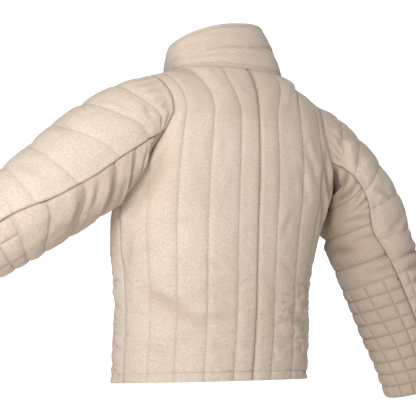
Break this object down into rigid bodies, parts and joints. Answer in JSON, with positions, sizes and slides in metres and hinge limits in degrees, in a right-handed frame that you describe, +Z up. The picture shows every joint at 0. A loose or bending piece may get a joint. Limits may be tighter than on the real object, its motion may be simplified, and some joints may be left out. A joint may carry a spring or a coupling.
{
  "type": "quilted fencing jacket",
  "caption": "Padded historical-fencing jacket with a stand collar, channel-quilted body and upper sleeves and square-quilted forearms, in its worn shape and empty.",
  "frame": {"origin": "On the wearer's shoulders: the middle of the neckline, level with the base of the collar at its sides.", "axes": "+X is the wearer's left, -Y is the way the wearer faces and +Z is up, towards the collar."},
  "size_m": [1.2268, 0.3744, 0.7932],
  "materials": {
    "shell": "matt quilted cotton canvas",
    "under": "matt quilted cotton canvas, a shade darker",
    "collar": "matt topstitched cotton canvas"
  },
  "bodies": {
    "root": {"back_left": "shell", "back_right": "shell", "front_left": "shell", "front_right": "shell", "sleeve_left_outer": "shell", "sleeve_right_outer": "shell", "sleeve_left_under": "under", "sleeve_right_under": "under", "collar": "collar"}
  },
  "joints": []
}
